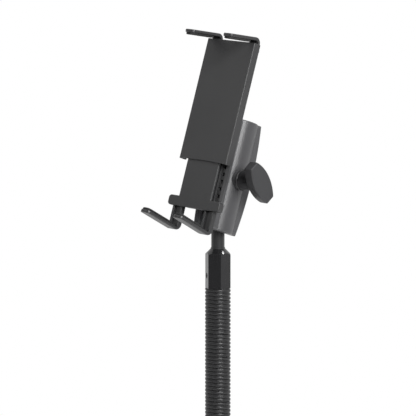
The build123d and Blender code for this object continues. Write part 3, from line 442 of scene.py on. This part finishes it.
def piece_from(name, shells, material):
    """One piece of several closed shells, each an array of points and one of faces."""
    points, faces, start = [], [], 0
    for shell_points, shell_faces in shells:
        points.append(shell_points)
        faces += (shell_faces + start).tolist()
        start += len(shell_points)
    thing = mesh_object(name, np.concatenate(points), faces, material)
    close_and_tidy(thing, 1e-7)
    return thing


def bar_along(path, across, thick, centre, squareness):
    """A bar with a rounded section along a path in the head's y and z.

    path holds (y, z) of the middle of the bar's thickness. A section point (u, v) stands at
    x = centre + across * u, and at the path's point plus thick * v along the path's normal.
    across, thick and centre hold one number for each point of the path.
    """
    tangent = np.gradient(path, axis=0)
    tangent /= np.linalg.norm(tangent, axis=1)[:, None]
    normal = np.stack([tangent[:, 1], -tangent[:, 0]], -1)
    section = rounded_section(BAR_SIDES, squareness)
    x = centre[:, None] + across[:, None] * section[None, :, 0]
    rise = (thick[:, None] * section[None, :, 1])[..., None]
    plane = path[:, None, :] + rise * normal[:, None, :]
    points = np.stack([x, plane[..., 0], plane[..., 1]], -1).reshape(-1, 3)
    return head_points(points), tube_faces(len(path), BAR_SIDES)


def bunched(length, stations):
    """Places along a length, closer together towards both ends: length * (1 - cos t) / 2."""
    return (1 - np.cos(np.linspace(0, math.pi, stations))) / 2 * length


def domed(place, length, start_round, end_round):
    """Share of full size along a bar.

    Near an end it is sqrt(1 - (1 - d / rounding) ^ 2), where d is the distance to that end.
    """
    least_square = 0.0004
    size = np.ones(len(place))
    for distance, rounding in ((place, start_round), (length - place, end_round)):
        share = np.clip(distance / rounding, 0, 1)
        size = np.minimum(size, np.sqrt(np.clip(1 - (1 - share) ** 2, least_square, 1)))
    return size


class Bend:
    """A path of two straight runs joined by an arc, in the head's y and z."""

    def __init__(self, start, corner, end, radius):
        start, corner, end = (np.array(point, float) for point in (start, corner, end))
        self.first = (corner - start) / np.linalg.norm(corner - start)
        self.second = (end - corner) / np.linalg.norm(end - corner)
        self.turn = math.acos(float(self.first @ self.second))
        cut = radius * math.tan(self.turn / 2)
        self.start, self.radius = start, radius
        self.run = np.linalg.norm(corner - start) - cut
        self.arc = radius * self.turn
        self.arc_start = corner - self.first * cut
        self.arc_end = corner + self.second * cut
        self.length = self.run + self.arc + np.linalg.norm(end - corner) - cut
        side = self.second - self.first * float(self.first @ self.second)
        self.centre = self.arc_start + side / np.linalg.norm(side) * radius

    def at(self, place):
        """Points at distances along the path."""
        place = place[:, None]
        angle = np.clip((place - self.run) / self.radius, 0, self.turn)
        inward = self.arc_start - self.centre
        bend = self.centre + inward * np.cos(angle) + self.first * self.radius * np.sin(angle)
        line = self.start + self.first * place
        after = self.arc_end + self.second * (place - self.run - self.arc)
        return np.where(place < self.run, line, np.where(place > self.run + self.arc, after, bend))


def coil_spring(start, axis, side, radius, wire, length, turns):
    """A helical spring of round wire, wound along an axis.

    At a distance s the wire's middle stands at start + axis * s, moved sideways by the radius
    at the angle 2 pi turns s / length.
    """
    around, steps_a_turn = 12, 22
    count = int(turns * steps_a_turn)
    share = np.linspace(0, 1, count)
    axis, side = np.array(axis, float), np.array(side, float)
    third = np.cross(axis, side)
    angle = 2 * math.pi * turns * share
    outward = np.cos(angle)[:, None] * side + np.sin(angle)[:, None] * third
    line = np.array(start) + (wire + (length - 2 * wire) * share)[:, None] * axis + radius * outward
    tangent = np.gradient(line, axis=0)
    tangent /= np.linalg.norm(tangent, axis=1)[:, None]
    up = np.cross(tangent, outward)
    turn = np.arange(around) / around * 2 * math.pi
    rim = np.cos(turn)[None, :, None] * outward[:, None, :] + np.sin(turn)[None, :, None] * up[:, None, :]
    points = line[:, None, :] + wire * rim
    return head_points(points.reshape(-1, 3)), tube_faces(count, around)


class MOUNT_OT_finish_foot(bpy.types.Operator):
    """Paints the foot, the ferrules and the posts"""
    bl_idname = "mount.finish_foot"
    bl_label = "Finish foot and ferrules"

    def execute(self, context):
        colours = context.scene.mount.colours
        dress(painted("foot_coat", colours.foot, 0.42, 0.0, 0.00005), "mounting_foot")
        gloss = painted("ferrule_gloss", colours.gloss_black, 0.2, 0.5, 0.00001)
        dress(gloss, "lower_ferrule", "upper_ferrule")
        dress(painted("stud_black", colours.stud, 0.3, 0.2, 0.00001), "lower_ball_stud", "holder_stud")
        return {"FINISHED"}


class MOUNT_OT_wind_neck(bpy.types.Operator):
    """Winds the ridged steel neck in lengths, one from each link to the next"""
    bl_idname = "mount.wind_neck"
    bl_label = "Wind neck"

    def execute(self, context):
        sizes = context.scene.mount.neck
        black = painted("neck_black", context.scene.mount.colours.neck, 0.36, 0.0, 0.000004)
        link = (NECK_TOP - NECK_BOTTOM) / NECK_JOINTS
        for joint in range(NECK_JOINTS):
            low = NECK_BOTTOM + link * joint
            high = low + link
            below, above = NECK_BODIES[joint], NECK_BODIES[joint + 1]
            if joint + 1 == CUT_PIECE:
                self.cut_piece(sizes, low, high, black, below, above)
                continue
            nodes = [f"neck_coil_{joint + 1:02d}"]
            if joint + 1 == NECK_JOINTS:
                nodes.append("neck_coil_17")
            piece = coil_strip(sizes, low, high, black, f"wound_neck_{joint + 1:02d}")
            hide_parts(*nodes)
            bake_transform(piece)
        return {"FINISHED"}

    def cut_piece(self, sizes, low, high, material, below, above):
        """The one length that is cut in two at its joint.

        Where every joint is at its limit, rounding spoils this length's bend, so its halves stay stiff.
        """
        middle = (low + high) / 2
        for word, bottom, top, body in (("lower", low, middle, below), ("upper", middle, high, above)):
            piece = coil_strip(sizes, bottom, top, material, f"wound_neck_{CUT_PIECE:02d}_{word}")
            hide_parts(f"neck_coil_{CUT_PIECE:02d}")
            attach(piece, body)


class MOUNT_OT_finish_clamp(bpy.types.Operator):
    """Finishes the clamp arm, its balls, bolt and knob"""
    bl_idname = "mount.finish_clamp"
    bl_label = "Finish clamp arm"

    def execute(self, context):
        colours = context.scene.mount.colours
        dress(composite("arm_grey", colours.arm, 0.31), "arm_half_inner", "arm_half_outer")
        dress(moulded("knob_black", colours.knob, 0.46), "clamp_knob")
        dress(soft_rubber("ball_rubber", colours.rubber), "lower_ball", "upper_ball")
        dress(bare_metal("clamp_zinc", colours.zinc, 0.34), "clamp_bolt")
        dress(painted("washer_black", colours.stud, 0.4, 0.0), "clamp_washer")
        dress(bare_metal("insert_brass", colours.brass, 0.3), "knob_insert")
        return {"FINISHED"}


class MOUNT_OT_finish_holder(bpy.types.Operator):
    """Finishes the holder's shell and plates"""
    bl_idname = "mount.finish_holder"
    bl_label = "Finish holder"

    def execute(self, context):
        colours = context.scene.mount.colours
        black = moulded("holder_black", colours.holder, 0.44)
        dress(black, "upper_shell", "front_plate", "rear_base", "ball_plate", "pull_bar")
        return {"FINISHED"}


class MOUNT_OT_bend_legs(bpy.types.Operator):
    """Bends the four legs from rounded strip and lays their rubber pads"""
    bl_idname = "mount.bend_legs"
    bl_label = "Bend legs"

    def foot_line(self, sizes, level, back, way, depth):
        """A foot's line at a depth below its outer face: a point over the back, and the way to the tip."""
        slope = sizes.top_slope if way > 0 else sizes.bottom_slope
        along = np.array([-math.cos(slope), -way * math.sin(slope)])
        inward = np.array([math.sin(slope), -way * math.cos(slope)])
        start = np.array([back, level]) + inward * depth
        return start, along

    def apart(self, sizes, way):
        return sizes.top_apart if way > 0 else sizes.bottom_apart

    def reach(self, sizes, way):
        return sizes.top_tip if way > 0 else sizes.bottom_tip

    def strip(self, sizes, level, back, way, side, from_height):
        """The L-shaped strip of a leg, with a rounded tip."""
        half = sizes.strip / 2
        start, along = self.foot_line(sizes, level, back, way, half)
        corner = start + along * ((back - half - start[0]) / along[0])
        tip = start + along * ((-self.reach(sizes, way) - start[0]) / along[0])
        path = Bend((back - half, from_height), corner, tip, sizes.bend)
        place = bunched(path.length, 150)
        across = sizes.width / 2 * domed(place, path.length, *STRIP_WIDTH_ROUND)
        thick = half * domed(place, path.length, *STRIP_DEPTH_ROUND)
        outward = np.clip((place - path.run - path.arc) / (path.length - path.run - path.arc), 0, 1)
        centre = side * (self.apart(sizes, way) + sizes.splay * outward)
        return bar_along(path.at(place), across, thick, centre, STRIP_SQUARENESS)

    def pad(self, sizes, level, back, way, side):
        """The rubber pad on a foot's inner face, crowned and rounded at its ends."""
        start, along = self.foot_line(sizes, level, back, way, sizes.strip - PAD_SINK + sizes.pad / 2)
        low = start + along * ((back - sizes.strip - PAD_FROM_STRAP - start[0]) / along[0])
        high = start + along * ((-self.reach(sizes, way) + PAD_FROM_TIP - start[0]) / along[0])
        length = np.linalg.norm(high - low)
        place = bunched(length, 70)
        path = low + (place / length)[:, None] * (high - low)
        across = (sizes.width / 2 - PAD_EDGE) * domed(place, length, *PAD_WIDTH_ROUND)
        thick = sizes.pad / 2 * domed(place, length, *PAD_DEPTH_ROUND)
        outward = PAD_FIRST_SPLAY + (1 - PAD_FIRST_SPLAY) * place / length
        centre = side * (self.apart(sizes, way) + sizes.splay * outward)
        return bar_along(path, across, thick, centre, PAD_SQUARENESS)

    def straight(self, low, high, half_across, half_thick, x, y):
        """An upright bar in a strap."""
        stations = 24
        place = bunched(high - low, stations)
        path = np.stack([np.full(stations, y), low + place], -1)
        size = domed(place, high - low, UPRIGHT_ROUND, UPRIGHT_ROUND)
        return bar_along(path, half_across * size, half_thick * size, np.full(stations, x), UPRIGHT_SQUARENESS)

    def execute(self, context):
        sizes = context.scene.mount.legs
        colours = context.scene.mount.colours
        plastic = moulded("leg_black", colours.legs, 0.34)
        rubber = soft_rubber("pad_black", colours.rubber)
        pads = []
        for side, word in ((-1, "left"), (1, "right")):
            level, back = sizes.top_level, sizes.top_back
            strip = self.strip(sizes, level, back, 1, side, level - sizes.top_hang)
            leg = piece_from(f"bent_top_leg_{word}", [strip], plastic)
            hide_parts(f"top_leg_{word}")
            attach(leg, "shell")
            pads.append(self.pad(sizes, level, back, 1, side))
            level, back = sizes.bottom_level, sizes.bottom_back
            shells = [self.strip(sizes, level, back, -1, side, STRAP_TOP)]
            foot, front = level + RIB_RISE, back - RIB_SET_FORWARD
            for edge in (-1, 1):
                x = side * sizes.bottom_apart + edge * (sizes.width / 2 - RIB_HALF_WIDTH)
                shells.append(self.straight(foot, STRAP_TOP, RIB_HALF_WIDTH, RIB_HALF_DEPTH, x, front))
            x, y = side * SHANK_X, back - SHANK_HALF_DEPTH
            shells.append(self.straight(0.0, SHANK_TOP, SHANK_HALF_WIDTH, SHANK_HALF_DEPTH, x, y))
            leg = piece_from(f"bent_bottom_leg_{word}", shells, plastic)
            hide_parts(f"bottom_leg_{word}")
            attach(leg, f"{word}_leg")
            pad = piece_from(f"bottom_pad_{word}", [self.pad(sizes, level, back, -1, side)], rubber)
            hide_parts(f"{word}_leg_pad")
            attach(pad, f"{word}_leg")
        pad = piece_from("top_pads", pads, rubber)
        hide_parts("top_leg_pads")
        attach(pad, "shell")
        return {"FINISHED"}


class MOUNT_OT_finish_fasteners(bpy.types.Operator):
    """Finishes the screws, pins and springs"""
    bl_idname = "mount.finish_fasteners"
    bl_label = "Finish fasteners"

    def execute(self, context):
        colours = context.scene.mount.colours
        zinc = bare_metal("fastener_zinc", colours.zinc, 0.32)
        dress(zinc, "foot_screw", "ball_plate_screws", "cover_screws", "leg_screws")
        dress(zinc, "leg_leaf_springs", "spring_pin")
        dress(painted("grub_black", colours.gloss_black, 0.35, 0.0), "lower_grub_screw", "upper_grub_screw")
        return {"FINISHED"}


class MOUNT_OT_wind_springs(bpy.types.Operator):
    """Winds the holder's two pull springs and the clamp's push spring"""
    bl_idname = "mount.wind_springs"
    bl_label = "Wind springs"

    def execute(self, context):
        steel = bare_metal("spring_steel", context.scene.mount.colours.zinc, 0.3)
        low, high = PULL_SPRING_LOW, PULL_SPRING_HIGH
        radius, wire, turns = PULL_SPRING_RADIUS, PULL_SPRING_WIRE, PULL_SPRING_TURNS
        shells = []
        for side in (-1, 1):
            start = (side * PULL_SPRING_X, low[1], low[2])
            shells.append(coil_spring(start, (0, 0, 1), (1, 0, 0), radius, wire, high[2] - low[2], turns))
        pair = piece_from("wound_pull_springs", shells, steel)
        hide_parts("pull_springs")
        low, high = head_points(np.array(low)), head_points(np.array(high))
        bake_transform(pair)
        start, end = np.array(CLAMP_SPRING_FROM), np.array(CLAMP_SPRING_TO)
        radius, wire, turns = CLAMP_SPRING_RADIUS, CLAMP_SPRING_WIRE, CLAMP_SPRING_TURNS
        coil = coil_spring(start, (1, 0, 0), (0, 1, 0), radius, wire, end[0] - start[0], turns)
        push = piece_from("wound_clamp_spring", [coil], steel)
        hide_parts("clamp_spring")
        head_points(start)
        head_points(end)
        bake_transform(push)
        return {"FINISHED"}


def aim(thing, place, target):
    """Stands a lamp at a place and turns it to a target."""
    thing.location = place
    thing.rotation_euler = (Vector(target) - Vector(place)).to_track_quat("-Z", "Y").to_euler()
    bpy.context.collection.objects.link(thing)


def soft_lamp(name, watts, size, azimuth, elevation, distance, target):
    """A square soft box that stands at an azimuth and elevation round the target."""
    lamp = bpy.data.lights.new(name, "AREA")
    lamp.energy = watts
    lamp.size = size
    a, e = math.radians(azimuth), math.radians(elevation)
    back = Vector((math.sin(a) * math.cos(e), -math.cos(a) * math.cos(e), math.sin(e)))
    aim(bpy.data.objects.new(name, lamp), Vector(target) + back * distance, target)


class MOUNT_OT_set_stage(bpy.types.Operator):
    """Sets the floor, lamps, white surround and camera"""
    bl_idname = "mount.set_stage"
    bl_label = "Set stage"

    def execute(self, context):
        studio = context.scene.mount.studio
        middle = (0, 0, 0.42)
        soft_lamp("key_lamp", studio.key, 0.6, 70, 22, 1.1, (0, 0, 0.48))
        soft_lamp("fill_lamp", studio.fill, 1.0, -20, 35, 1.8, middle)
        soft_lamp("top_lamp", studio.top, 0.25, 145, 62, 1.4, middle)
        self.surround(context, studio)
        self.floor()
        lens = bpy.data.cameras.new("camera")
        lens.sensor_width = CAMERA_SENSOR
        lens.lens = CAMERA_LENS
        lens.clip_end = CAMERA_REACH
        camera = bpy.data.objects.new("camera", lens)
        camera.location = CAMERA_PLACE
        camera.rotation_euler = Vector(CAMERA_TOWARD).to_track_quat("-Z", "Y").to_euler()
        context.collection.objects.link(camera)
        context.scene.camera = camera
        context.scene.view_settings.view_transform = "Standard"
        return {"FINISHED"}

    def surround(self, context, studio):
        """White where the camera looks past the mount.

        The room that lights the mount is dim in front and bright behind.
        """
        world = bpy.data.worlds.new("white_surround")
        context.scene.world = world
        world.use_nodes = True
        tree = world.node_tree
        tree.nodes.clear()
        path = tree.nodes.new("ShaderNodeLightPath")
        seen = tree.nodes.new("ShaderNodeMath")
        seen.operation = "MAXIMUM"
        tree.links.new(path.outputs["Is Camera Ray"], seen.inputs[0])
        tree.links.new(path.outputs["Is Transmission Ray"], seen.inputs[1])
        place = tree.nodes.new("ShaderNodeTexCoord")
        depth = tree.nodes.new("ShaderNodeVectorMath")
        depth.operation = "DOT_PRODUCT"
        depth.inputs[1].default_value = AWAY_FROM_CAMERA
        tree.links.new(place.outputs["Generated"], depth.inputs[0])
        level = tree.nodes.new("ShaderNodeMapRange")
        level.interpolation_type = "SMOOTHSTEP"
        limits = {"From Min": -0.7, "From Max": 0.5, "To Min": studio.near, "To Max": studio.far}
        for name, value in limits.items():
            level.inputs[name].default_value = value
        tree.links.new(depth.outputs["Value"], level.inputs["Value"])
        plain = tree.nodes.new("ShaderNodeBackground")
        tree.links.new(level.outputs[0], plain.inputs["Strength"])
        white = tree.nodes.new("ShaderNodeBackground")
        white.inputs["Color"].default_value = (1, 1, 1, 1)
        white.inputs["Strength"].default_value = 1.0
        mix = tree.nodes.new("ShaderNodeMixShader")
        tree.links.new(seen.outputs[0], mix.inputs[0])
        tree.links.new(plain.outputs[0], mix.inputs[1])
        tree.links.new(white.outputs[0], mix.inputs[2])
        out = tree.nodes.new("ShaderNodeOutputWorld")
        tree.links.new(mix.outputs[0], out.inputs["Surface"])

    def floor(self):
        """A round pale floor that fades into the white surround before the front view's frame reaches it."""
        finish = Finish("pale_floor")
        finish.set(Base_Color=(0.82, 0.82, 0.82, 1), Roughness=0.9)
        white = finish.node("ShaderNodeEmission", {}, {"Color": (1, 1, 1, 1), "Strength": 1.0})
        reach = finish.node("ShaderNodeVectorMath", {"operation": "LENGTH"}, {0: finish.place()})
        fade = finish.node("ShaderNodeMapRange", {"interpolation_type": "SMOOTHSTEP"}, {
            "Value": reach.outputs["Value"], "From Min": 0.25, "From Max": 0.8})
        mix = finish.node("ShaderNodeMixShader", {}, {
            0: fade.outputs[0], 1: finish.shader.outputs[0], 2: white.outputs[0]})
        finish.feed(finish.output.inputs["Surface"], mix.outputs[0])
        rings, spokes, drop = 12, 96, -0.0002
        angle = np.arange(spokes) / spokes * 2 * math.pi
        radius = np.linspace(0.02, 0.95, rings)
        points = np.stack([
            np.outer(radius, np.cos(angle)), np.outer(radius, np.sin(angle)),
            np.full((rings, spokes), drop)], -1)
        ring, spoke = np.meshgrid(np.arange(rings - 1), np.arange(spokes), indexing="ij")
        inner, outer, after = ring * spokes, (ring + 1) * spokes, (spoke + 1) % spokes
        faces = np.stack([inner + spoke, outer + spoke, outer + after, inner + after], -1)
        faces = faces.reshape(-1, 4).tolist() + [list(range(spokes))]
        mesh_object("pale_floor", points.reshape(-1, 3), faces, finish.material)


class MOUNT_PT_sidebar(bpy.types.Panel):
    """Lists the mount's operators and settings."""
    bl_idname = "MOUNT_PT_sidebar"
    bl_label = "Phone mount"
    bl_space_type = "VIEW_3D"
    bl_region_type = "UI"
    bl_category = "Phone mount"

    def draw(self, context):
        mount = context.scene.mount
        for operator in OPERATORS:
            self.layout.operator(operator.bl_idname)
        for group in (mount.neck, mount.legs, mount.colours, mount.studio):
            box = self.layout.box()
            for name in group.bl_rna.properties.keys():
                if name not in ("rna_type", "name"):
                    box.prop(group, name)


OPERATORS = (
    MOUNT_OT_finish_foot, MOUNT_OT_wind_neck, MOUNT_OT_finish_clamp, MOUNT_OT_finish_holder,
    MOUNT_OT_bend_legs, MOUNT_OT_finish_fasteners, MOUNT_OT_wind_springs, MOUNT_OT_set_stage)
CLASSES = (NeckSizes, LegSizes, Colours, Studio, Mount, *OPERATORS, MOUNT_PT_sidebar)


def register():
    for item in CLASSES:
        bpy.utils.register_class(item)
    bpy.types.Scene.mount = PointerProperty(type=Mount)


def unregister():
    del bpy.types.Scene.mount
    for item in reversed(CLASSES):
        bpy.utils.unregister_class(item)


def main():
    """Runs every operator in order."""
    register()
    for operator in OPERATORS:
        group, name = operator.bl_idname.split(".")
        getattr(getattr(bpy.ops, group), name)()


if __name__ == "__main__":
    main()
